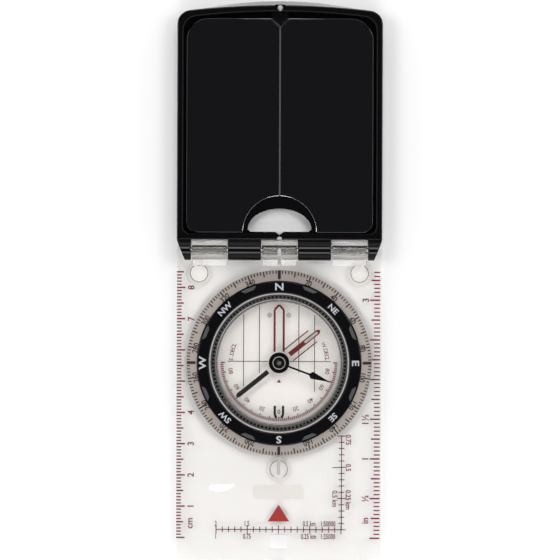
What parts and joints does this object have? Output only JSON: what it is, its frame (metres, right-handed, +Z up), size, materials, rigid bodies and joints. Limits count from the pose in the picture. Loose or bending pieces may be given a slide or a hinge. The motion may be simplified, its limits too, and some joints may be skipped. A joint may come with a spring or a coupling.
{
  "type": "baseplate compass",
  "caption": "Clear baseplate compass with a folding black mirror lid, a turning degree dial and a liquid capsule with a needle and a clinometer pointer.",
  "frame": {"origin": "on the table under the middle of the open length", "axes": "+Y from the baseplate towards the open lid, +Z up, +X to the right"},
  "size_m": [0.0656, 0.1792, 0.0122],
  "materials": {
    "clear_plastic": "polished clear acrylic",
    "clear_silicone": "translucent silicone",
    "steel": "ground",
    "lume": "luminous paint in plastic",
    "black_plastic": "gloss moulded",
    "mirror": "polished glass mirror",
    "foam_tape": "foam",
    "grey_plastic": "satin translucent",
    "pale_plastic": "satin",
    "brass": "turned",
    "magnet": "sintered",
    "jewel": "polished"
  },
  "bodies": {
    "base": {"baseplate": "clear_plastic", "foot_left": "clear_silicone", "foot_right": "clear_silicone", "foot_centre": "clear_silicone", "hinge_pin": "steel", "rear_index": "lume", "front_index": "lume"},
    "lid": {"lid_shell": "black_plastic", "mirror": "mirror", "mirror_tape": "foam_tape", "tip_sight_bead": "lume", "window_sight_bead": "lume"},
    "dial": {"degree_ring": "grey_plastic", "grip_ring": "black_plastic", "dial_retainer": "black_plastic", "capsule_snap_ring": "pale_plastic"},
    "screw": {"declination_screw": "brass"},
    "capsule": {"capsule_base": "clear_plastic", "capsule_cover": "clear_plastic", "declination_gear": "grey_plastic", "needle_pivot": "steel", "clinometer_pivot": "steel"},
    "needle": {"needle_blade": "clear_plastic", "needle_hub": "black_plastic", "needle_magnet": "magnet", "needle_jewel": "jewel"},
    "clinometer": {"clinometer_pointer": "black_plastic"}
  },
  "joints": [
    {"name": "lid_hinge", "type": "hinge", "parent": "base", "child": "lid", "pos_m": [0, 0.00955, 0.009], "axis": [1, 0, 0], "range_deg": [0, 180]},
    {"name": "dial_turn", "type": "hinge", "parent": "base", "child": "dial", "pos_m": [0, -0.02635, 0.006], "axis": [0, 0, 1], "continuous": true},
    {"name": "declination_set", "type": "hinge", "parent": "dial", "child": "capsule", "pos_m": [0, -0.02635, 0.005], "axis": [0, 0, 1], "range_deg": [-90, 90]},
    {"name": "declination_screw_turn", "type": "hinge", "parent": "dial", "child": "screw", "pos_m": [-0.01781, -0.04026, 0.004], "axis": [0, 0, 1], "range_deg": [-1363, 1363]},
    {"name": "needle_swing", "type": "hinge", "parent": "capsule", "child": "needle", "pos_m": [0, -0.02635, 0.0045], "axis": [0, 0, 1], "continuous": true},
    {"name": "clinometer_swing", "type": "hinge", "parent": "capsule", "child": "clinometer", "pos_m": [0, -0.02635, 0.0066], "axis": [0, 0, 1], "continuous": true}
  ],
  "couplings": [
    {"joint": "declination_screw_turn", "follows": "declination_set", "ratio": -15.143}
  ]
}
